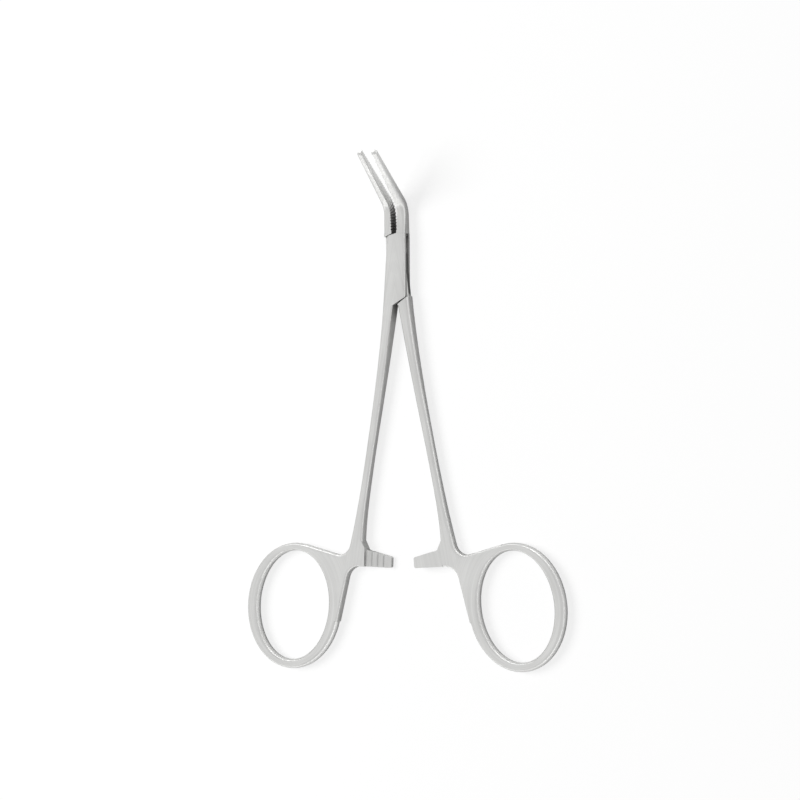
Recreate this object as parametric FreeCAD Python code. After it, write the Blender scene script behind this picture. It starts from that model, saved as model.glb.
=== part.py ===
import FreeCAD, Part
import math
import os

# Mosquito forceps, lying on their back on the table plane z = 0.
# Origin: on the pivot axis, at the back cheek's flat face. +Y to the jaw tips, +Z up, millimetres.
# Both halves are drawn shut, then each is turned about the pivot to the open rest position.

V = FreeCAD.Vector
UP = V(0, 0, 1)

# Working allowances: how far a cut runs past the metal, and how near an edge must be to be found
cut_margin = 1.0
find_reach = 0.15
same_place = 1e-6
flat_edge_rise = 1.0

# Opening
rest_half_angle = 2.9

# Box lock
box_thickness = 3.4
box_half_width = 2.65
box_side_taper = 0.036
box_edge_radius = 0.5
cheek_upper_corner = 7.5
cheek_upper_crotch = 8.3
cheek_lower_corner = 6.95
cheek_lower_crotch = 8.9
crotch_half_gap = 0.2
tongue_thickness = 1.3
tongue_inset = 0.08
tongue_face_gap = 0.04
tongue_end_gap = 0.1
slot_radius = 8.0
shoulder_gap = 0.06

# Pivot pin
pin_radius = 1.1
pin_head_radius = 1.5
pin_head_depth = 0.45
pin_running_gap = 0.03

# Jaws
bend_apex = 14.6
bend_radius = 5.0
bend_angle = 50.0
bent_length = 19.6
jaw_bend_width = 2.1
jaw_bend_thickness = 2.6
jaw_tip_width = 1.2
jaw_tip_thickness = 1.3
jaw_corner_share = 0.38
jaw_nose_length = 0.5
jaw_nose_share = 0.62
jaw_root_step = 0.03
jaw_root_overlap = 0.5
jaw_spare = 0.4
bend_sections = 5
tip_half_gap = 0.015
serration_pitch = 0.7
serration_depth = 0.2
serration_width = 0.56
serration_margin = 0.9

# Shanks
shank_outer_mid = (6.4, -41.0)
shank_inner_mid = (3.5, -34.5)
shank_inner_low = (6.15, -53.0)
shank_inner_end = (7.2, -66.0)
shank_outer_flare = 14.0
shank_inner_slope = 7.0
shank_waist_station = 42.0
shank_waist_rise = 0.45
shank_waist_thickness = 2.3
shank_waist_end = 64.5
outer_edge_radius = 0.75
inner_edge_radius = 0.5

# Finger rings
ring_centre = (25.8, -82.2)
ring_opening_half_width = 9.65
ring_opening_half_height = 13.25
ring_outer_half_width = 12.65
ring_outer_half_height = 15.3
ring_outer_drop = 0.2
ring_lean = 5.0
ring_thickness = 2.8
ring_round_share = 0.6
ring_slices = 8
ring_web_corner = (11.3, -70.0)
ring_web_fillet = 3.2
ring_fork_corner_x = 10.7
ring_fork_fillet = 3.5
fork_edge_radius = 0.5

# Ratchet
bar_tip = -0.13
bar_foot = -71.9
bar_tip_top = -69.3
bar_shoulder = (5.0, -68.15)
bar_fillet_mid = (6.6, -67.5)
bar_root = 6.4
bar_corner_radius = 0.5
bar_buried = 1.0
tooth_lead = 1.75
tooth_pitch = 1.6
tooth_count = 3
tooth_rise = 0.3
tooth_valley = 0.3
tooth_back = 0.12

box_middle = box_thickness / 2
ring_middle = ring_thickness / 2


def box_half_width_at(y):
    return box_half_width - box_side_taper * y


def mirrored(shape):
    return shape.mirror(V(0, 0, 0), V(1, 0, 0))


def turned(shape, degrees):
    copy = shape.copy()
    copy.rotate(V(0, 0, 0), UP, degrees)
    return copy


def flat(x, y):
    return V(x, y, 0)


def line(start, end):
    return Part.LineSegment(start, end).toShape()


def arc(start, middle, end):
    return Part.Arc(start, middle, end).toShape()


def closed_polygon(points):
    return Part.Wire([line(a, b) for a, b in zip(points, points[1:] + points[:1])])


def plate(wire, bottom, top):
    face = Part.Face(wire)
    face.translate(V(0, 0, bottom))
    return face.extrude(V(0, 0, top - bottom))


def oval_wire(centre, half_width, half_height, height):
    wire = Part.Wire([Part.Ellipse(V(0, 0, 0), half_height, half_width).toShape()])
    wire.rotate(V(0, 0, 0), UP, 90 + ring_lean)
    wire.translate(V(centre[0], centre[1], height))
    return wire


def blended(first, second, share):
    return first + (second - first) * min(max(share, 0), 1)


# Oval between the ring's outer edge (share 0) and its opening (share 1)
def ring_oval(share, height):
    centre = (ring_centre[0], blended(ring_centre[1] - ring_outer_drop, ring_centre[1], share))
    half_width = blended(ring_outer_half_width, ring_opening_half_width, share)
    half_height = blended(ring_outer_half_height, ring_opening_half_height, share)
    return oval_wire(centre, half_width, half_height, height)


# Ring wall that bulges like half an ellipse from one face to the other
def ring_wall(inner):
    slices = []
    for i in range(ring_slices + 1):
        angle = math.pi * (i / ring_slices - 0.5)
        inset = ring_round_share * (1 - math.cos(angle)) / 2
        height = ring_thickness * (1 + math.sin(angle)) / 2
        slices.append(ring_oval(1 - inset if inner else inset, height))
    return Part.makeLoft(slices, True, False)


# The opening, as three solids to cut: the bulging wall and a clear run past each face
def ring_eye():
    mouth = ring_oval(1 - ring_round_share / 2, 0)
    below = plate(mouth, -box_thickness, 0)
    above = plate(mouth, ring_thickness, ring_thickness + box_thickness)
    return [below, ring_wall(True), above]


def upright_edges_at(solid, x, y):
    found = []
    for edge in solid.Edges:
        ends = [v.Point for v in edge.Vertexes]
        if len(ends) != 2:
            continue
        upright = math.hypot(ends[0].x - ends[1].x, ends[0].y - ends[1].y) < same_place
        middle = (ends[0] + ends[1]) / 2
        if upright and math.hypot(middle.x - x, middle.y - y) < find_reach:
            found.append(edge)
    return found


# Where a line from an outside point touches the ring; side picks one of the two such lines
def touch_point(outside, side):
    lean = math.radians(ring_lean)
    centre_x = ring_centre[0]
    centre_y = ring_centre[1] - ring_outer_drop
    dx = outside.x - centre_x
    dy = outside.y - centre_y
    u = (dx * math.cos(lean) + dy * math.sin(lean)) / ring_outer_half_width
    v = (dy * math.cos(lean) - dx * math.sin(lean)) / ring_outer_half_height
    angle = math.atan2(v, u) + side * math.acos(1 / math.hypot(u, v))
    u = ring_outer_half_width * math.cos(angle)
    v = ring_outer_half_height * math.sin(angle)
    x = centre_x + u * math.cos(lean) - v * math.sin(lean)
    y = centre_y + u * math.sin(lean) + v * math.cos(lean)
    return flat(x, y)


# The side view's slim waist, from the box lock down to the finger ring
def side_profile():
    reach = 2 * ring_centre[0]
    box_end = -cheek_upper_crotch
    ring_end = -shank_waist_end
    foot = ring_centre[1] - ring_outer_half_height
    head = cheek_upper_crotch + cut_margin
    waist_top = shank_waist_rise + shank_waist_thickness

    def at(y, z):
        return V(-reach, y, z)

    def waist(start, middle, end):
        curve = Part.BSplineCurve()
        along = V(0, end.y - start.y, 0)
        curve.interpolate(Points=[start, middle, end], InitialTangent=along, FinalTangent=along)
        return curve.toShape()

    wire = Part.Wire([
        line(at(head, 0), at(box_end, 0)),
        waist(at(box_end, 0), at(-shank_waist_station, shank_waist_rise), at(ring_end, 0)),
        line(at(ring_end, 0), at(foot, 0)),
        line(at(foot, 0), at(foot, ring_thickness)),
        line(at(foot, ring_thickness), at(ring_end, ring_thickness)),
        waist(at(ring_end, ring_thickness), at(-shank_waist_station, waist_top), at(box_end, box_thickness)),
        line(at(box_end, box_thickness), at(head, box_thickness)),
        line(at(head, box_thickness), at(head, 0)),
    ])
    return Part.Face(wire).extrude(V(2 * reach, 0, 0))


def downward(x_step, length):
    return V(x_step, -1, 0) * length


def spline(points, first_direction, last_direction):
    curve = Part.BSplineCurve()
    curve.interpolate(Points=points, InitialTangent=first_direction, FinalTangent=last_direction)
    return curve.toShape()


# Half of the forceps without its jaw and ring: box lock, shank and the web that meets the ring
def half_blank():
    upper = cheek_upper_corner
    lower = -cheek_lower_corner
    gap = crotch_half_gap
    jaw_root = flat(-box_half_width_at(cheek_upper_crotch), cheek_upper_crotch)
    outer_start = flat(box_half_width_at(lower), lower)
    web_corner = flat(*ring_web_corner)
    web_touch = touch_point(web_corner, -1)
    fork_corner = flat(ring_fork_corner_x, bar_foot)
    fork_touch = touch_point(fork_corner, 1)
    foot_root = flat(bar_root, bar_foot)
    shoulder_root = flat(bar_root, bar_fillet_mid[1])
    inner_end = flat(*shank_inner_end)
    crotch = flat(gap, -cheek_lower_crotch)
    outer_slope = math.tan(math.radians(shank_outer_flare))
    inner_slope = math.tan(math.radians(shank_inner_slope))
    outer_edge = spline([outer_start, flat(*shank_outer_mid), web_corner],
                        downward(box_side_taper, 1), downward(outer_slope, 1))
    inner_edge = spline([inner_end, flat(*shank_inner_low), flat(*shank_inner_mid), crotch],
                        V(0, 1, 0), downward(inner_slope, -1))
    outline = Part.Wire([
        line(jaw_root, flat(-gap, cheek_upper_crotch)),
        line(flat(-gap, cheek_upper_crotch), flat(box_half_width_at(upper), upper)),
        line(flat(box_half_width_at(upper), upper), outer_start),
        outer_edge,
        line(web_corner, web_touch),
        line(web_touch, flat(*ring_centre)),
        line(flat(*ring_centre), fork_touch),
        line(fork_touch, fork_corner),
        line(fork_corner, foot_root),
        line(foot_root, shoulder_root),
        line(shoulder_root, inner_end),
        inner_edge,
        line(crotch, flat(-box_half_width_at(lower), lower)),
        line(flat(-box_half_width_at(lower), lower), jaw_root),
    ])
    blank = plate(outline, 0, box_thickness)
    blank = blank.makeFillet(ring_web_fillet, upright_edges_at(blank, web_corner.x, web_corner.y))
    blank = blank.makeFillet(ring_fork_fillet, upright_edges_at(blank, fork_corner.x, fork_corner.y))
    return blank.common(side_profile())


# Long edges that cross an upright line at the given place
def long_edges_at(solid, x, y):
    probe = Part.makeLine(V(x, y, 0), V(x, y, box_thickness))
    found = []
    for edge in solid.Edges:
        heights = [v.Point.z for v in edge.Vertexes]
        if max(heights) - min(heights) < flat_edge_rise and edge.distToShape(probe)[0] < find_reach:
            found.append(edge)
    return found


def rounded(solid, radius, x, y):
    return solid.makeFillet(radius, long_edges_at(solid, x, y))


# The half with its edges rounded, its finger ring added and the ring's opening cut
def soft_half():
    blank = half_blank()
    blank = rounded(blank, outer_edge_radius, box_half_width, 0)
    blank = rounded(blank, box_edge_radius, -box_half_width, 0)
    blank = rounded(blank, inner_edge_radius, *shank_inner_mid)
    blank = rounded(blank, fork_edge_radius, shank_inner_end[0], bar_foot)
    return blank.fuse(ring_wall(False)).cut(ring_eye()).removeSplitter()


# Jaw path in the side view, measured along its middle line from the box lock
bend_turn = math.radians(bend_angle)
bend_tangent = bend_radius * math.tan(bend_turn / 2)
straight_run = bend_apex - bend_tangent - cheek_upper_crotch
bend_run = bend_radius * bend_turn
bent_run = bent_length - bend_tangent
jaw_run = straight_run + bend_run + bent_run


def jaw_station(run):
    start = V(0, cheek_upper_crotch, box_middle)
    turn = min(max((run - straight_run) / bend_radius, 0), bend_turn)
    reach = min(run, straight_run) + bend_radius * math.sin(turn)
    rise = bend_radius * (1 - math.cos(turn))
    past = max(run - straight_run - bend_run, 0)
    reach += past * math.cos(turn)
    rise += past * math.sin(turn)
    return start + V(0, reach, rise), V(0, -math.sin(turn), math.cos(turn))


def jaw_size(run):
    root_width = box_half_width_at(cheek_upper_crotch) - jaw_root_step
    root_thickness = box_thickness - 2 * jaw_root_step
    bend_end = straight_run + bend_run
    if run <= bend_end:
        share = run / bend_end
        corner = blended(box_edge_radius, jaw_corner_share * jaw_bend_thickness, share)
        return (blended(root_width, jaw_bend_width, share),
                blended(root_thickness, jaw_bend_thickness, share), corner)
    share = (run - bend_end) / bent_run
    thickness = blended(jaw_bend_thickness, jaw_tip_thickness, share)
    return blended(jaw_bend_width, jaw_tip_width, share), thickness, jaw_corner_share * thickness


# D-shaped section of the right-hand jaw, its flat side past the middle plane
def jaw_section(run, shrink=1.0):
    centre, normal = jaw_station(run)
    width, thickness, corner = jaw_size(run)
    width *= shrink
    half = thickness * shrink / 2
    corner *= shrink
    slant = corner * (1 - math.sqrt(0.5))

    def at(x, height):
        return centre + V(x, 0, 0) + normal * height

    inner = -jaw_spare
    return Part.Wire([
        line(at(inner, -half), at(inner, half)),
        line(at(inner, half), at(width - corner, half)),
        arc(at(width - corner, half), at(width - slant, half - slant), at(width, half - corner)),
        line(at(width, half - corner), at(width, -half + corner)),
        arc(at(width, -half + corner), at(width - slant, -half + slant), at(width - corner, -half)),
        line(at(width - corner, -half), at(inner, -half)),
    ])


def half_gap_at(y):
    tip_y = jaw_station(jaw_run)[0].y
    share = (y - cheek_upper_crotch) / (tip_y - cheek_upper_crotch)
    return blended(crotch_half_gap + jaw_root_step, tip_half_gap, share)


def right_jaw():
    bend_end = straight_run + bend_run
    nose = jaw_run - jaw_nose_length
    straight = Part.makeLoft([jaw_section(-jaw_root_overlap), jaw_section(straight_run)], True, False)
    turns = [jaw_section(straight_run + bend_run * i / bend_sections) for i in range(bend_sections + 1)]
    curved = Part.makeLoft(turns, True, False)
    bent = Part.makeLoft([jaw_section(bend_end), jaw_section(nose)], True, False)
    tip = Part.makeLoft([jaw_section(nose), jaw_section(jaw_run, jaw_nose_share)], True, False)
    jaw = straight.fuse([curved, bent, tip]).removeSplitter()
    low_y = cheek_upper_crotch - cut_margin
    high_y = jaw_station(jaw_run)[0].y + 2 * cut_margin
    face_line = [
        flat(half_gap_at(cheek_upper_crotch), low_y),
        flat(half_gap_at(cheek_upper_crotch), cheek_upper_crotch),
        flat(half_gap_at(high_y), high_y),
        flat(-box_half_width, high_y),
        flat(-box_half_width, low_y),
    ]
    beyond_face = plate(closed_polygon(face_line), -jaw_run, jaw_run)
    return jaw.cut(beyond_face).cut(Part.makeCompound(serrations()))


# V grooves across the jaw's flat face, each drawn one groove depth proud of the face and twice as wide
def serrations():
    count = int((jaw_run - 2 * serration_margin) / serration_pitch) + 1
    reach = box_thickness
    grooves = []
    for i in range(count):
        centre, normal = jaw_station(serration_margin + i * serration_pitch)
        along = normal.cross(V(1, 0, 0)) * serration_width
        base = centre - normal * reach
        root = base + V(half_gap_at(centre.y) + serration_depth, 0, 0)
        mouth = root - V(2 * serration_depth, 0, 0)
        groove = closed_polygon([root, mouth + along, mouth - along])
        grooves.append(Part.Face(groove).extrude(normal * 2 * reach))
    return grooves


# Ratchet bar in half the ring's thickness; its teeth face the other half's bar
def ratchet_bar(teeth_up):
    buried = bar_root + bar_buried
    end = flat(*shank_inner_end)
    plan = Part.Wire([
        line(flat(bar_tip, bar_foot), flat(bar_tip, bar_tip_top)),
        line(flat(bar_tip, bar_tip_top), flat(*bar_shoulder)),
        arc(flat(*bar_shoulder), flat(*bar_fillet_mid), end),
        line(end, flat(buried, bar_foot)),
        line(flat(buried, bar_foot), flat(bar_tip, bar_foot)),
    ])
    bar = plate(plan, 0, ring_thickness)
    tips = upright_edges_at(bar, bar_tip, bar_foot)
    tips += upright_edges_at(bar, bar_tip, bar_tip_top)
    bar = bar.makeFillet(bar_corner_radius, tips)
    crest = ring_middle + tooth_rise
    valley = ring_middle - tooth_valley
    past_tip = bar_tip - cut_margin
    edge = [V(past_tip, 0, valley), V(bar_tip, 0, valley)]
    for i in range(tooth_count):
        back = bar_tip + tooth_lead + i * tooth_pitch
        edge += [V(back - tooth_back, 0, crest), V(back, 0, valley)]
    edge += [V(bar_root, 0, crest), V(bar_root, 0, ring_thickness)]
    edge += [V(buried, 0, ring_thickness), V(buried, 0, 0), V(past_tip, 0, 0)]
    profile = Part.Face(closed_polygon(edge)).extrude(V(0, end.y - bar_foot + 2 * cut_margin, 0))
    profile.translate(V(0, bar_foot - cut_margin, 0))
    bar = bar.common(profile)
    if teeth_up:
        return bar
    return bar.mirror(V(0, 0, ring_middle), UP)


def disc(radius, bottom, top):
    return Part.makeCylinder(radius, top - bottom, V(0, 0, bottom))


def block(x_low, x_high, y_low, y_high, bottom, top):
    return Part.makeBox(x_high - x_low, y_high - y_low, top - bottom, V(x_low, y_low, bottom))


# Riveted pin: a shank with a cone at each end, ground flush with the cheeks
def pin_solid():
    waist = pin_head_depth
    outline = [
        V(0, 0, 0),
        V(pin_head_radius, 0, 0),
        V(pin_radius, 0, waist),
        V(pin_radius, 0, box_thickness - waist),
        V(pin_head_radius, 0, box_thickness),
        V(0, 0, box_thickness),
    ]
    return Part.Face(closed_polygon(outline)).revolve(V(0, 0, 0), UP, 360)


# Female half: left ring, right jaw, and two cheeks with the slot between them
def female_half():
    slot_thickness = tongue_thickness + 2 * tongue_face_gap
    bottom = box_middle - slot_thickness / 2
    top = box_middle + slot_thickness / 2
    web_gap = crotch_half_gap / 2
    far = 2 * box_half_width
    reach = cheek_lower_crotch + cut_margin
    slot = disc(slot_radius, bottom, top)
    slot = slot.fuse(block(-web_gap, far, -reach, 0, bottom, top))
    slot = slot.fuse(block(-far, web_gap, 0, reach, bottom, top))
    half = mirrored(soft_half()).fuse([right_jaw(), mirrored(ratchet_bar(True))])
    return half.cut([slot, pin_solid()])


# Male half: right ring, left jaw, and the thin tongue that passes through the slot
def male_half():
    upper_corner = flat(-box_half_width_at(cheek_upper_corner), cheek_upper_corner)
    upper_crotch = flat(crotch_half_gap, cheek_upper_crotch)
    lower_corner = flat(box_half_width_at(-cheek_lower_corner), -cheek_lower_corner)
    lower_crotch = flat(-crotch_half_gap, -cheek_lower_crotch)
    upper_along = (upper_crotch - upper_corner).normalize()
    lower_along = (lower_corner - lower_crotch).normalize()
    upper_away = V(-upper_along.y, upper_along.x, 0) * shoulder_gap
    lower_away = V(lower_along.y, -lower_along.x, 0) * shoulder_gap
    beyond = box_half_width
    recess = closed_polygon([
        upper_corner + upper_away - upper_along * beyond,
        upper_crotch + upper_away + upper_along * beyond,
        lower_corner + lower_away + lower_along * beyond,
        lower_crotch + lower_away - lower_along * beyond,
    ])
    tongue_bottom = box_middle - tongue_thickness / 2
    tongue_top = box_middle + tongue_thickness / 2
    front = plate(recess, tongue_top, box_thickness + cut_margin)
    back = plate(recess, -cut_margin, tongue_bottom)
    far = 2 * box_half_width
    reach = cheek_upper_crotch + cut_margin
    tongue_end = disc(slot_radius - tongue_end_gap, 0, box_thickness)
    blind_upper = block(-crotch_half_gap, far, 0, reach, 0, box_thickness).cut(tongue_end)
    blind_lower = block(-far, crotch_half_gap, -reach, 0, 0, box_thickness).cut(tongue_end)
    bore = disc(pin_radius + pin_running_gap, 0, box_thickness)
    half = soft_half().fuse([mirrored(right_jaw()), ratchet_bar(False)])
    return half.cut([front, back, blind_upper, blind_lower, tongue_side(1), tongue_side(-1), bore])


# Metal taken off the tongue's edge so that it stands just inside the cheeks' edge
def tongue_side(side):
    low = -cheek_lower_corner if side > 0 else -slot_radius
    high = slot_radius if side > 0 else cheek_upper_corner
    far = 2 * box_half_width
    edge = [
        flat(side * (box_half_width_at(low) - tongue_inset), low),
        flat(side * (box_half_width_at(high) - tongue_inset), high),
        flat(side * far, high),
        flat(side * far, low),
    ]
    return plate(closed_polygon(edge), 0, box_thickness)


pieces = {
    "female_half": turned(female_half(), -rest_half_angle),
    "male_half": turned(male_half(), rest_half_angle),
    "pivot_pin": pin_solid(),
}

os.makedirs("parts", exist_ok=True)
for name, shape in pieces.items():
    solid = shape.Solids[0]
    solid.exportStep(f"parts/{name}.step")
    box = solid.BoundBox
    print(name, "solids", len(shape.Solids), "valid", solid.isValid(), "volume", round(solid.Volume, 1),
          "faces", len(solid.Faces), "Y", round(box.YMin, 2), round(box.YMax, 2), "Z", round(box.ZMax, 2))
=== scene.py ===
# %% [markdown]
# Mosquito forceps, dressed for the camera
#
# Mosquito forceps are small clamps for surgery. Two forged halves cross in a box lock: the thin
# tongue of one passes through a slot in the other, and a riveted pin holds both. The CAD model
# already has the right shape, so this lesson leaves every mesh as it is and works on what CAD
# can't give: the satin steel, the light and the camera.
#
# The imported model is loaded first. Its objects are in metres and stand at the origin.

import math

import bpy
from mathutils import Matrix, Vector

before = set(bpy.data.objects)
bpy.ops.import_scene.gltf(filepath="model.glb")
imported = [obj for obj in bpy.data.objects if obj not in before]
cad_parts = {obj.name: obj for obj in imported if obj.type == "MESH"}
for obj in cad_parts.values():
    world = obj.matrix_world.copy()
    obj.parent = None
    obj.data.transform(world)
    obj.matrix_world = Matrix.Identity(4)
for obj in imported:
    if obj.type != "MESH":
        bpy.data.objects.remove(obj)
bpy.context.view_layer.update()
scene = bpy.context.scene

# %% [markdown]
# The forceps are thought of in millimetres, as on a maker's drawing. One value turns them into
# Blender's metres.

# %% Millimetres
MM = 0.001
PHOTO_SIZE = 800
halves = [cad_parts["female_half"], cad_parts["male_half"]]
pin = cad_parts["pivot_pin"]

# %% [markdown]
# The camera stands far off, as for a catalogue picture, so that near and far pieces come out
# at almost one scale. It looks down and stands 27 degrees to the right of straight above, so
# the right-hand sides of the shanks show and the raised jaws lean to the left. The lens follows
# from the picture's scale: so many pixels for a millimetre at that distance.

# %% Camera
SIDE_ANGLE = math.radians(27.0)
NOD_ANGLE = math.radians(0.14)
ROLL_ANGLE = math.radians(-1.07)
CAMERA_DISTANCE = 869.8 * MM
AIM_POINT = Vector((0.0, -31.6, 1.7)) * MM
PIXELS_PER_MM = 4.18
SENSOR_WIDTH = 36.0

turn = Matrix.Rotation(SIDE_ANGLE, 4, "Y") @ Matrix.Rotation(NOD_ANGLE, 4, "X")
turn = turn @ Matrix.Rotation(ROLL_ANGLE, 4, "Z")
toward_camera = turn.to_3x3() @ Vector((0, 0, 1))

camera_data = bpy.data.cameras.new("catalogue_camera")
camera_data.sensor_width = SENSOR_WIDTH
focal_pixels = PIXELS_PER_MM * CAMERA_DISTANCE / MM
camera_data.lens = focal_pixels * SENSOR_WIDTH / PHOTO_SIZE
camera = bpy.data.objects.new("catalogue_camera", camera_data)
camera.matrix_world = Matrix.Translation(AIM_POINT + toward_camera * CAMERA_DISTANCE) @ turn
scene.collection.objects.link(camera)
scene.camera = camera
print("lens", round(camera_data.lens, 1), "mm")

# %% [markdown]
# Every material here is a small network of nodes. A few helpers keep the wiring short. They make
# a node and fill in its values, do a step of arithmetic, stretch one range of values onto another,
# blend two colours by a share, and say where on the piece a spot is, in millimetres.

# %% Helpers for nodes
def add_node(tree, kind, **values):
    node = tree.nodes.new(kind)
    for name, value in values.items():
        setattr(node, name, value)
    return node


def calculate(tree, operation, first, second):
    node = add_node(tree, "ShaderNodeMath", operation=operation)
    for socket, value in zip(node.inputs, (first, second)):
        if isinstance(value, (int, float)):
            socket.default_value = value
        else:
            tree.links.new(value, socket)
    return node.outputs[0]


def remap(tree, value, from_low, from_high, to_low, to_high):
    node = add_node(tree, "ShaderNodeMapRange", clamp=True)
    tree.links.new(value, node.inputs["Value"])
    limits = {"From Min": from_low, "From Max": from_high, "To Min": to_low, "To Max": to_high}
    for name, limit in limits.items():
        if isinstance(limit, (int, float)):
            node.inputs[name].default_value = limit
        else:
            tree.links.new(limit, node.inputs[name])
    return node.outputs["Result"]


def without_sign(tree, value):
    return calculate(tree, "ABSOLUTE", value, 0.0)


def weighted_sum(tree, first, first_weight, second, second_weight):
    return calculate(tree, "ADD", calculate(tree, "MULTIPLY", first, first_weight),
                     calculate(tree, "MULTIPLY", second, second_weight))


def mix_colour(tree, share, first, second):
    node = add_node(tree, "ShaderNodeMix", data_type="RGBA")
    tree.links.new(share, node.inputs["Factor"])
    for name, value in (("A", first), ("B", second)):
        socket = next(s for s in node.inputs if s.name == name and s.type == "RGBA")
        if isinstance(value, tuple):
            socket.default_value = (*value, 1.0)
        else:
            tree.links.new(value, socket)
    return next(s for s in node.outputs if s.type == "RGBA")


def place_in_mm(tree):
    place = add_node(tree, "ShaderNodeTexCoord")
    scaled = add_node(tree, "ShaderNodeVectorMath", operation="SCALE")
    scaled.inputs["Scale"].default_value = 1 / MM
    tree.links.new(place.outputs["Object"], scaled.inputs[0])
    axes = add_node(tree, "ShaderNodeSeparateXYZ")
    tree.links.new(scaled.outputs["Vector"], axes.inputs["Vector"])
    return axes.outputs["X"], axes.outputs["Y"], axes.outputs["Z"]


def new_group(name, inputs, outputs):
    group = bpy.data.node_groups.new(name, "ShaderNodeTree")
    for socket_name, kind, default in inputs:
        socket = group.interface.new_socket(socket_name, in_out="INPUT", socket_type=kind)
        socket.default_value = default
    for socket_name, kind in outputs:
        group.interface.new_socket(socket_name, in_out="OUTPUT", socket_type=kind)
    start = add_node(group, "NodeGroupInput")
    end = add_node(group, "NodeGroupOutput")
    return group, start, end


def place_group(tree, group, **values):
    node = add_node(tree, "ShaderNodeGroup", node_tree=group)
    for name, value in values.items():
        node.inputs[name.replace("_", " ")].default_value = value
    return node


print("helpers ready for arithmetic, colours, places and groups")

# %% [markdown]
# Satin steel is blasted with fine glass beads, so it is covered in tiny soft dents. A noise
# texture at a tenth of a millimetre stands in for them. The group gives the height for a bump
# and the same noise as a mask, which makes the roughness flicker a little as it does in life.

# %% Group for the bead-blasted grain
BEAD_DETAIL = 3.0
BEAD_HARSHNESS = 0.65
BEAD_MASK_RANGE = (0.25, 0.75)
NOISE_MIDDLE = 0.5


def make_bead_grain():
    group, start, end = new_group(
        "bead_grain",
        [("Grain Size", "NodeSocketFloat", 0.1), ("Contrast", "NodeSocketFloat", 1.0)],
        [("Height", "NodeSocketFloat"), ("Mask", "NodeSocketFloat")],
    )
    place = add_node(group, "ShaderNodeTexCoord")
    scale = calculate(group, "DIVIDE", 1 / MM, start.outputs["Grain Size"])
    noise = add_node(group, "ShaderNodeTexNoise")
    noise.inputs["Detail"].default_value = BEAD_DETAIL
    noise.inputs["Roughness"].default_value = BEAD_HARSHNESS
    group.links.new(place.outputs["Object"], noise.inputs["Vector"])
    group.links.new(scale, noise.inputs["Scale"])
    centred = calculate(group, "SUBTRACT", noise.outputs["Fac"], NOISE_MIDDLE)
    spread = calculate(group, "MULTIPLY", centred, start.outputs["Contrast"])
    height = calculate(group, "ADD", spread, NOISE_MIDDLE)
    group.links.new(height, end.inputs["Height"])
    group.links.new(remap(group, height, *BEAD_MASK_RANGE, 0.0, 1.0), end.inputs["Mask"])
    return group


bead_grain = make_bead_grain()
print(bead_grain.name, "has", len(bead_grain.nodes), "nodes")

# %% [markdown]
# Before blasting, the halves are ground: lengthwise on jaws and shanks, and round and round on
# the finger rings. Faint marks stay. The group makes lines by stretching a noise along the metal.
# Both halves have the same form, so it works with the distance from the middle plane, and one
# set of numbers serves the left and the right. On a ring the noise is read on a circle, which
# leaves no seam.

# %% Group for the grinding marks
SHANK_SLANT = 0.19
RING_CENTRE = (29.93, -80.79)
RING_LEAN = math.radians(7.9)
RING_HALF_SIZE = (11.15, 14.3)
RING_STARTS = (13.5, 16.5)
LINE_DETAIL = 3.0
LINE_HARSHNESS = 0.6
LINE_MASK_RANGE = (0.3, 0.7)


def line_noise(group, across, along, around, height, line_width, line_length):
    corner = add_node(group, "ShaderNodeCombineXYZ")
    group.links.new(calculate(group, "DIVIDE", across, line_width), corner.inputs["X"])
    group.links.new(calculate(group, "DIVIDE", along, line_length), corner.inputs["Y"])
    group.links.new(calculate(group, "DIVIDE", around, line_length), corner.inputs["Z"])
    noise = add_node(group, "ShaderNodeTexNoise", noise_dimensions="4D")
    noise.inputs["Scale"].default_value = 1.0
    noise.inputs["Detail"].default_value = LINE_DETAIL
    noise.inputs["Roughness"].default_value = LINE_HARSHNESS
    group.links.new(corner.outputs["Vector"], noise.inputs["Vector"])
    group.links.new(calculate(group, "DIVIDE", height, line_width), noise.inputs["W"])
    return noise.outputs["Fac"]


def make_grinding_marks():
    group, start, end = new_group(
        "grinding_marks",
        [("Line Width", "NodeSocketFloat", 0.12), ("Line Length", "NodeSocketFloat", 9.0)],
        [("Height", "NodeSocketFloat"), ("Mask", "NodeSocketFloat")],
    )
    line_size = (start.outputs["Line Width"], start.outputs["Line Length"])
    x, y, z = place_in_mm(group)
    x = without_sign(group, x)

    across = calculate(group, "ADD", x, calculate(group, "MULTIPLY", y, SHANK_SLANT))
    on_shank = line_noise(group, across, y, 0.0, z, *line_size)

    dx = calculate(group, "SUBTRACT", x, RING_CENTRE[0])
    dy = calculate(group, "SUBTRACT", y, RING_CENTRE[1])
    cos_lean = math.cos(RING_LEAN)
    sin_lean = math.sin(RING_LEAN)
    wide = weighted_sum(group, dx, cos_lean, dy, sin_lean)
    tall = weighted_sum(group, dy, cos_lean, dx, -sin_lean)
    wide = calculate(group, "DIVIDE", wide, RING_HALF_SIZE[0])
    tall = calculate(group, "DIVIDE", tall, RING_HALF_SIZE[1])
    away = calculate(group, "POWER", weighted_sum(group, wide, wide, tall, tall), 0.5)
    radius = sum(RING_HALF_SIZE) / 2
    east = calculate(group, "MULTIPLY", calculate(group, "DIVIDE", wide, away), radius)
    north = calculate(group, "MULTIPLY", calculate(group, "DIVIDE", tall, away), radius)
    outward = calculate(group, "MULTIPLY", away, radius)
    on_ring = line_noise(group, outward, east, north, z, *line_size)

    ring_share = remap(group, x, *RING_STARTS, 0.0, 1.0)
    shank_share = calculate(group, "SUBTRACT", 1.0, ring_share)
    height = weighted_sum(group, on_shank, shank_share, on_ring, ring_share)
    group.links.new(height, end.inputs["Height"])
    group.links.new(remap(group, height, *LINE_MASK_RANGE, 0.0, 1.0), end.inputs["Mask"])
    return group


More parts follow.
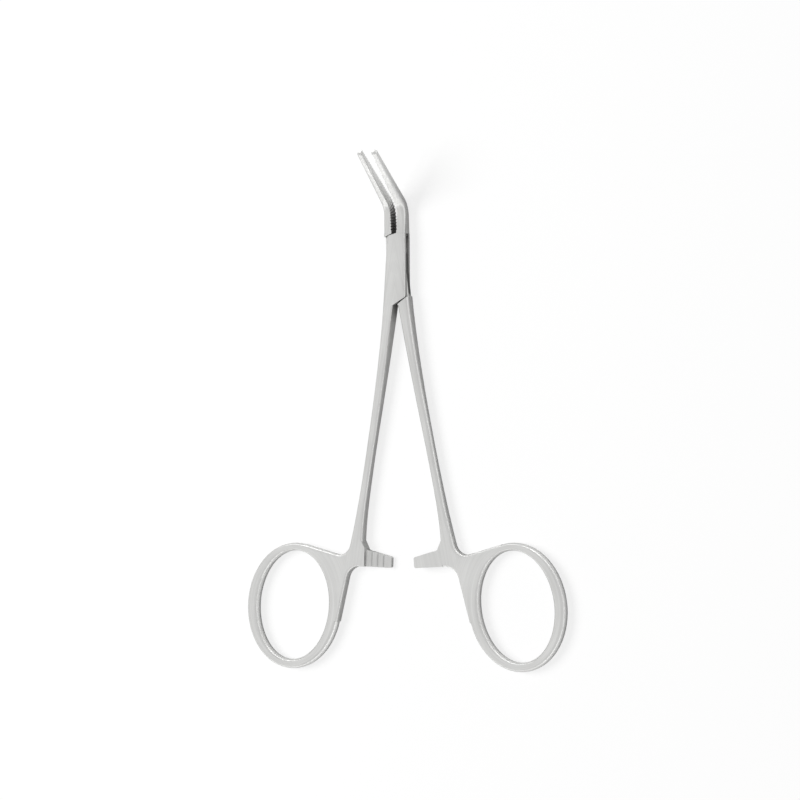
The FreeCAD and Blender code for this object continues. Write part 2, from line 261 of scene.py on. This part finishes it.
grinding_marks = make_grinding_marks()
print(grinding_marks.name, "has", len(grinding_marks.nodes), "nodes")

# %% [markdown]
# Handling polishes the outer edges until they shine, while joints and the roots of teeth stay
# dull. These and the narrow gaps between two pieces also get painted shade: a dark colour laid
# where little light reaches. The Bevel node answers with the normal that a rounder edge would
# have, so where it differs from the true one there is an edge. The Ambient Occlusion node answers
# how shut in a spot is, and that sets the painted shade. It is asked of the piece alone, for its
# own grooves, and of everything close by, for the hairlines and the narrow gaps between two
# pieces. The latter stop above the floor, or the painted shade would darken the metal wherever it
# touches the floor.

# %% Group for polished edges and painted shade in corners
# Depths and ranges of the painted shade in shut-in spots, in millimetres
HAIRLINE_DEPTH = 0.3
NARROW_GAP_DEPTH = 3.0
FLOOR_MARGIN = (0.35, 0.6)
GROOVE_SHADE = (0.85, 0.35)
HAIRLINE_SHADE = (0.85, 0.4)
NARROW_GAP_SHADE = (0.6, 0.12)
SHADE_SAMPLES = 8
BEVEL_SAMPLES = 6
EDGE_TURN = (0.98, 0.75)


def shut_in(group, depth, shade_range, own_piece_only):
    shade = add_node(group, "ShaderNodeAmbientOcclusion", samples=SHADE_SAMPLES,
                     only_local=own_piece_only)
    group.links.new(calculate(group, "MULTIPLY", depth, MM), shade.inputs["Distance"])
    return remap(group, shade.outputs["AO"], *shade_range, 0.0, 1.0)


def make_edge_and_painted_shade():
    group, start, end = new_group(
        "edge_and_painted_shade",
        [("Edge Width", "NodeSocketFloat", 0.25), ("Groove Depth", "NodeSocketFloat", 0.9)],
        [("Edge", "NodeSocketFloat"), ("Painted Shade", "NodeSocketFloat")],
    )
    surface = add_node(group, "ShaderNodeNewGeometry")
    bevel = add_node(group, "ShaderNodeBevel", samples=BEVEL_SAMPLES)
    edge_width = calculate(group, "MULTIPLY", start.outputs["Edge Width"], MM)
    group.links.new(edge_width, bevel.inputs["Radius"])
    meet = add_node(group, "ShaderNodeVectorMath", operation="DOT_PRODUCT")
    group.links.new(bevel.outputs["Normal"], meet.inputs[0])
    group.links.new(surface.outputs["Normal"], meet.inputs[1])
    edge = remap(group, meet.outputs["Value"], *EDGE_TURN, 0.0, 1.0)
    group.links.new(edge, end.inputs["Edge"])

    # Painted shade: how shut in a spot is becomes the share of a dark colour
    grooves = shut_in(group, start.outputs["Groove Depth"], GROOVE_SHADE, own_piece_only=True)
    hairlines = shut_in(group, HAIRLINE_DEPTH, HAIRLINE_SHADE, own_piece_only=False)
    narrow_gaps = shut_in(group, NARROW_GAP_DEPTH, NARROW_GAP_SHADE, own_piece_only=False)
    between = calculate(group, "MAXIMUM", hairlines, narrow_gaps)
    height = place_in_mm(group)[2]
    above_floor = remap(group, height, *FLOOR_MARGIN, 0.0, 1.0)
    between = calculate(group, "MULTIPLY", between, above_floor)
    group.links.new(calculate(group, "MAXIMUM", grooves, between), end.inputs["Painted Shade"])
    return group


edge_and_painted_shade = make_edge_and_painted_shade()
print(edge_and_painted_shade.name, "has", len(edge_and_painted_shade.nodes), "nodes")

# %% [markdown]
# Steel that has been cleaned many times isn't one grey. A slow noise, its patches a centimetre
# wide or so, tints it a little and changes how sharply it shines.

# %% Group for the slow cloudiness
CLOUD_DETAIL = 2.0
CLOUD_MASK_RANGE = (0.3, 0.7)


def make_cloudiness():
    group, start, end = new_group(
        "cloudiness",
        [("Patch Size", "NodeSocketFloat", 12.0)],
        [("Mask", "NodeSocketFloat")],
    )
    place = add_node(group, "ShaderNodeTexCoord")
    scale = calculate(group, "DIVIDE", 1 / MM, start.outputs["Patch Size"])
    noise = add_node(group, "ShaderNodeTexNoise")
    noise.inputs["Detail"].default_value = CLOUD_DETAIL
    group.links.new(place.outputs["Object"], noise.inputs["Vector"])
    group.links.new(scale, noise.inputs["Scale"])
    mask = remap(group, noise.outputs["Fac"], *CLOUD_MASK_RANGE, 0.0, 1.0)
    group.links.new(mask, end.inputs["Mask"])
    return group


cloudiness = make_cloudiness()
print(cloudiness.name, "has", len(cloudiness.nodes), "nodes")

# %% [markdown]
# The faces are finished by hand on a belt, so they aren't truly flat: they undulate a little,
# and the cheeks of the box lock come out slightly crowned. The group gives both as one height
# in millimetres. Mirrored in satin steel, even a degree or two of tilt shows as a soft shade.

# %% Group for the hand-finished faces
CHEEK_HALF_LENGTH = (8.0, 12.0)


def make_hand_finish():
    group, start, end = new_group(
        "hand_finish",
        [("Wave Length", "NodeSocketFloat", 7.0), ("Wave Height", "NodeSocketFloat", 0.04),
         ("Crown", "NodeSocketFloat", 0.02)],
        [("Height", "NodeSocketFloat")],
    )
    place = add_node(group, "ShaderNodeTexCoord")
    scale = calculate(group, "DIVIDE", 1 / MM, start.outputs["Wave Length"])
    noise = add_node(group, "ShaderNodeTexNoise")
    noise.inputs["Detail"].default_value = 0.0
    group.links.new(place.outputs["Object"], noise.inputs["Vector"])
    group.links.new(scale, noise.inputs["Scale"])
    waves = calculate(group, "MULTIPLY", noise.outputs["Fac"], start.outputs["Wave Height"])

    x, y = place_in_mm(group)[:2]
    on_cheek = remap(group, without_sign(group, y), *CHEEK_HALF_LENGTH, 1.0, 0.0)
    x_squared = calculate(group, "MULTIPLY", x, x)
    crown = calculate(group, "MULTIPLY", x_squared, start.outputs["Crown"])
    crown = calculate(group, "MULTIPLY", crown, on_cheek)
    group.links.new(calculate(group, "SUBTRACT", waves, crown), end.inputs["Height"])
    return group


hand_finish = make_hand_finish()
print(hand_finish.name, "has", len(hand_finish.nodes), "nodes")

# %% [markdown]
# The thin tongue's own edge, which looks out of the slot on both sides of the box lock, is never
# polished and lies in shade, so it gets painted shade as well as a duller finish. This group marks
# it by its place: halfway up, beside the pivot, facing sideways.

# %% Group for the painted shade on the tongue in its slot
TONGUE_HEIGHTS = (1.0, 2.4)
TONGUE_HALF_LENGTH = 8.2
TONGUE_HALF_WIDTH = (2.2, 3.2)
SIDEWAYS = (0.7, 0.95)


def make_painted_slot_shade():
    group, start, end = new_group(
        "painted_slot_shade",
        [("Softness", "NodeSocketFloat", 0.1)],
        [("Mask", "NodeSocketFloat")],
    )
    softness = start.outputs["Softness"]
    x, y, z = [without_sign(group, axis) for axis in place_in_mm(group)]

    def within(value, low, high):
        above = remap(group, calculate(group, "SUBTRACT", value, low), 0.0, softness, 0.0, 1.0)
        below = remap(group, calculate(group, "SUBTRACT", high, value), 0.0, softness, 0.0, 1.0)
        return calculate(group, "MULTIPLY", above, below)

    place = add_node(group, "ShaderNodeTexCoord")
    facing = add_node(group, "ShaderNodeSeparateXYZ")
    group.links.new(place.outputs["Normal"], facing.inputs["Vector"])
    sideways = without_sign(group, facing.outputs["X"])

    # Painted shade on the tongue's sideways faces inside the slot
    mask = remap(group, sideways, *SIDEWAYS, 0.0, 1.0)
    for value, low, high in ((z, *TONGUE_HEIGHTS), (x, *TONGUE_HALF_WIDTH),
                             (y, -TONGUE_HALF_LENGTH, TONGUE_HALF_LENGTH)):
        mask = calculate(group, "MULTIPLY", mask, within(value, low, high))
    group.links.new(mask, end.inputs["Mask"])
    return group


painted_slot_shade = make_painted_slot_shade()
print(painted_slot_shade.name, "has", len(painted_slot_shade.nodes), "nodes")

# %% [markdown]
# One function makes both steels from those groups. Metals have no colour of their own under
# their shine, so Metallic is 1 and Base Color is the colour of the reflection. Each group lays
# its own colour over the steel by a share, and makes it a little rougher or smoother. The dark
# colour for grooves, gaps and the tongue's edge is painted shade. The pin is ground flush after
# riveting, so its edges aren't worn as bright as those of the halves.

# %% The steels
STREAK_COLOUR = (0.53, 0.53, 0.52)
BEAD_COLOUR = (0.5, 0.5, 0.49)
EDGE_COLOUR = (0.85, 0.85, 0.84)
# The colour of the painted shade in grooves, gaps and the slot
PAINTED_SHADE_COLOUR = (0.09, 0.09, 0.088)
BROAD_LINES = {"Line_Width": 0.55, "Line_Length": 18.0}
BROAD_LINE_SHARE = 0.6
STREAK_SHARE = 0.6
BEAD_SHARE = 0.12
PAINTED_SHADE_SHARE = 0.9
CLOUD_ROUGHENS = 0.05
STREAK_ROUGHENS = 0.08
BEAD_ROUGHENS = 0.06
JOINT_ROUGHENS = 0.15
EDGE_SMOOTHS = 0.25


def make_steel(name, colour, cloudy_colour, edge_share, roughness, grain, marks):
    material = bpy.data.materials.new(name)
    material.use_nodes = True
    tree = material.node_tree
    shader = tree.nodes["Principled BSDF"]
    shader.inputs["Metallic"].default_value = 1.0

    cloud = place_group(tree, cloudiness).outputs["Mask"]
    places = place_group(tree, edge_and_painted_shade)
    edge = places.outputs["Edge"]
    slot = place_group(tree, painted_slot_shade)
    # One mask of painted shade: shut-in grooves and gaps, and the tongue's edge in its slot
    painted_shade = calculate(tree, "MAXIMUM", places.outputs["Painted Shade"], slot.outputs["Mask"])
    beads = place_group(tree, bead_grain)
    bead = beads.outputs["Mask"]
    fine = place_group(tree, grinding_marks)
    broad = place_group(tree, grinding_marks, **BROAD_LINES)
    streak = weighted_sum(tree, broad.outputs["Mask"], BROAD_LINE_SHARE,
                          fine.outputs["Mask"], 1 - BROAD_LINE_SHARE)
    finish = place_group(tree, hand_finish)

    steel = mix_colour(tree, cloud, colour, cloudy_colour)
    rough = remap(tree, cloud, 0.0, 1.0, roughness, roughness + CLOUD_ROUGHENS)
    layers = [
        (streak, STREAK_SHARE, STREAK_COLOUR, STREAK_ROUGHENS),
        (bead, BEAD_SHARE, BEAD_COLOUR, BEAD_ROUGHENS),
        (edge, edge_share, EDGE_COLOUR, -edge_share * EDGE_SMOOTHS),
        (painted_shade, PAINTED_SHADE_SHARE, PAINTED_SHADE_COLOUR, JOINT_ROUGHENS),
    ]
    for mask, share, layer_colour, roughens in layers:
        steel = mix_colour(tree, calculate(tree, "MULTIPLY", mask, share), steel, layer_colour)
        rough = calculate(tree, "ADD", rough, calculate(tree, "MULTIPLY", mask, roughens))
    tree.links.new(steel, shader.inputs["Base Color"])
    tree.links.new(rough, shader.inputs["Roughness"])

    height = weighted_sum(tree, beads.outputs["Height"], grain, fine.outputs["Height"], marks)
    height = calculate(tree, "ADD", height, finish.outputs["Height"])
    bump = add_node(tree, "ShaderNodeBump")
    bump.inputs["Strength"].default_value = 1.0
    bump.inputs["Distance"].default_value = MM
    tree.links.new(height, bump.inputs["Height"])
    tree.links.new(bump.outputs["Normal"], shader.inputs["Normal"])
    return material


def dress(piece, material):
    for slot in piece.material_slots:
        slot.material = material
    print(piece.name, "wears", material.name)


satin_steel = make_steel("satin_steel", colour=(0.8, 0.8, 0.79), cloudy_colour=(0.73, 0.73, 0.72),
                         edge_share=0.5, roughness=0.26, grain=0.008, marks=0.014)
pin_steel = make_steel("pin_steel", colour=(0.79, 0.79, 0.78), cloudy_colour=(0.72, 0.72, 0.71),
                       edge_share=0.12, roughness=0.3, grain=0.007, marks=0.01)
for half in halves:
    dress(half, satin_steel)
dress(pin, pin_steel)

# %% [markdown]
# The forceps lie on a plain pale floor. The camera sees it as some paint and more glow, so the
# shadow is there but faint, as in a catalogue. Reflections see the painted floor with its full
# shadow, and that is what darkens the sides of the steel.

# %% Floor
FLOOR_HALF_SIZE = 2.0
PAINT_FOR_LIGHT = (0.92, 0.92, 0.92)
PAINT_FOR_CAMERA = (0.27, 0.27, 0.27)
GLOW_FOR_CAMERA = 0.77
GLOW_FOR_MIRRORS = 0.06

floor_mesh = bpy.data.meshes.new("floor")
corners = [(x * FLOOR_HALF_SIZE, y * FLOOR_HALF_SIZE, 0)
           for x, y in ((-1, -1), (1, -1), (1, 1), (-1, 1))]
floor_mesh.from_pydata(corners, [], [(0, 1, 2, 3)])
floor = bpy.data.objects.new("floor", floor_mesh)
scene.collection.objects.link(floor)

floor_material = bpy.data.materials.new("pale_floor")
floor_material.use_nodes = True
tree = floor_material.node_tree
shader = tree.nodes["Principled BSDF"]
shader.inputs["Roughness"].default_value = 1.0
shader.inputs["Specular IOR Level"].default_value = 0.0
shader.inputs["Emission Color"].default_value = (1.0, 1.0, 1.0, 1.0)
rays = add_node(tree, "ShaderNodeLightPath").outputs
by_camera = rays["Is Camera Ray"]
by_mirrors = calculate(tree, "MAXIMUM", rays["Is Glossy Ray"], rays["Is Transmission Ray"])
paint = mix_colour(tree, by_camera, PAINT_FOR_LIGHT, PAINT_FOR_CAMERA)
glow = weighted_sum(tree, by_camera, GLOW_FOR_CAMERA, by_mirrors, GLOW_FOR_MIRRORS)
tree.links.new(paint, shader.inputs["Base Color"])
tree.links.new(glow, shader.inputs["Emission Strength"])
floor_mesh.materials.append(floor_material)
print("floor", 2 * FLOOR_HALF_SIZE, "m wide")

# %% [markdown]
# Polished and satin metal is a picture of the room around it, so the world is built as a simple
# studio: pale overhead, palest high on the left, fading towards the horizon. Low down there are
# windows. The one beyond the finger rings whitens the bent jaws, the one beyond the jaws draws
# white arcs on the rings, and a weaker one on the right pales the rounded edges. The camera itself
# sees plain white, and the soft light that reaches other surfaces is one even level.

# %% World
ROOM_HEIGHTS = (0.0, 0.85)
ROOM_LEVELS = (0.6, 0.86)
LEFT_WALL = (-0.2, -0.7)
LEFT_WALL_ADDS = 0.22
WINDOW_HEIGHTS = (0.3, 0.03)
WINDOW_LEVEL = 2.0
# Each window's axis, where along it the glass begins and is full, and its strength
WINDOWS = [("Y", -0.1, -0.7, 1.0), ("X", 0.3, 0.8, 0.7), ("Y", 0.5, 0.9, 1.7)]
EVEN_LEVEL = 0.32

world = bpy.data.worlds.new("studio")
scene.world = world
world.use_nodes = True
tree = world.node_tree
background = tree.nodes["Background"]
direction = add_node(tree, "ShaderNodeTexCoord")
parts = add_node(tree, "ShaderNodeSeparateXYZ")
tree.links.new(direction.outputs["Generated"], parts.inputs["Vector"])
toward = parts.outputs

room = remap(tree, toward["Z"], *ROOM_HEIGHTS, *ROOM_LEVELS)
room = calculate(tree, "ADD", room, remap(tree, toward["X"], *LEFT_WALL, 0.0, LEFT_WALL_ADDS))
glass = 0.0
for axis, begins, full, window_strength in WINDOWS:
    pane = remap(tree, toward[axis], begins, full, 0.0, window_strength)
    glass = calculate(tree, "MAXIMUM", pane, glass)
low_down = remap(tree, toward["Z"], *WINDOW_HEIGHTS, 0.0, WINDOW_LEVEL)
room = calculate(tree, "ADD", room, calculate(tree, "MULTIPLY", glass, low_down))

rays = add_node(tree, "ShaderNodeLightPath").outputs
above_even = calculate(tree, "SUBTRACT", room, EVEN_LEVEL)
in_metal = calculate(tree, "MULTIPLY", above_even, rays["Is Glossy Ray"])
strength = calculate(tree, "ADD", in_metal, EVEN_LEVEL)
see_through = calculate(tree, "MAXIMUM", rays["Is Camera Ray"], rays["Is Transmission Ray"])
strength = calculate(tree, "MAXIMUM", strength, see_through)
tree.links.new(strength, background.inputs["Strength"])
background.inputs["Color"].default_value = (1.0, 1.0, 1.0, 1.0)
print("the world has", len(tree.nodes), "nodes and", len(WINDOWS), "windows")

# %% [markdown]
# One large soft box hangs on the left, its place and size given in metres, and throws a soft
# shadow to the right. The right-hand sides of the steel face that shaded strip of floor, which is
# what makes them dark. The metal doesn't mirror the box itself, because the room above already
# says what the steel sees.

# %% Lamps
def add_soft_box(name, place, size, power):
    data = bpy.data.lights.new(name, "AREA")
    data.shape = "DISK"
    data.size = size
    data.energy = power
    lamp = bpy.data.objects.new(name, data)
    lamp.location = place
    lamp.rotation_euler = (AIM_POINT - Vector(place)).to_track_quat("-Z", "Y").to_euler()
    scene.collection.objects.link(lamp)
    return lamp


left_box = add_soft_box("left_soft_box", place=(-0.75, 0.1, 0.85), size=0.7, power=10.3)
left_box.visible_glossy = False
print(left_box.name, "lights the table with", left_box.data.energy, "W")

# %% [markdown]
# Colours are shown as they are, with no film look.

# %% Finish
scene.view_settings.view_transform = "Standard"
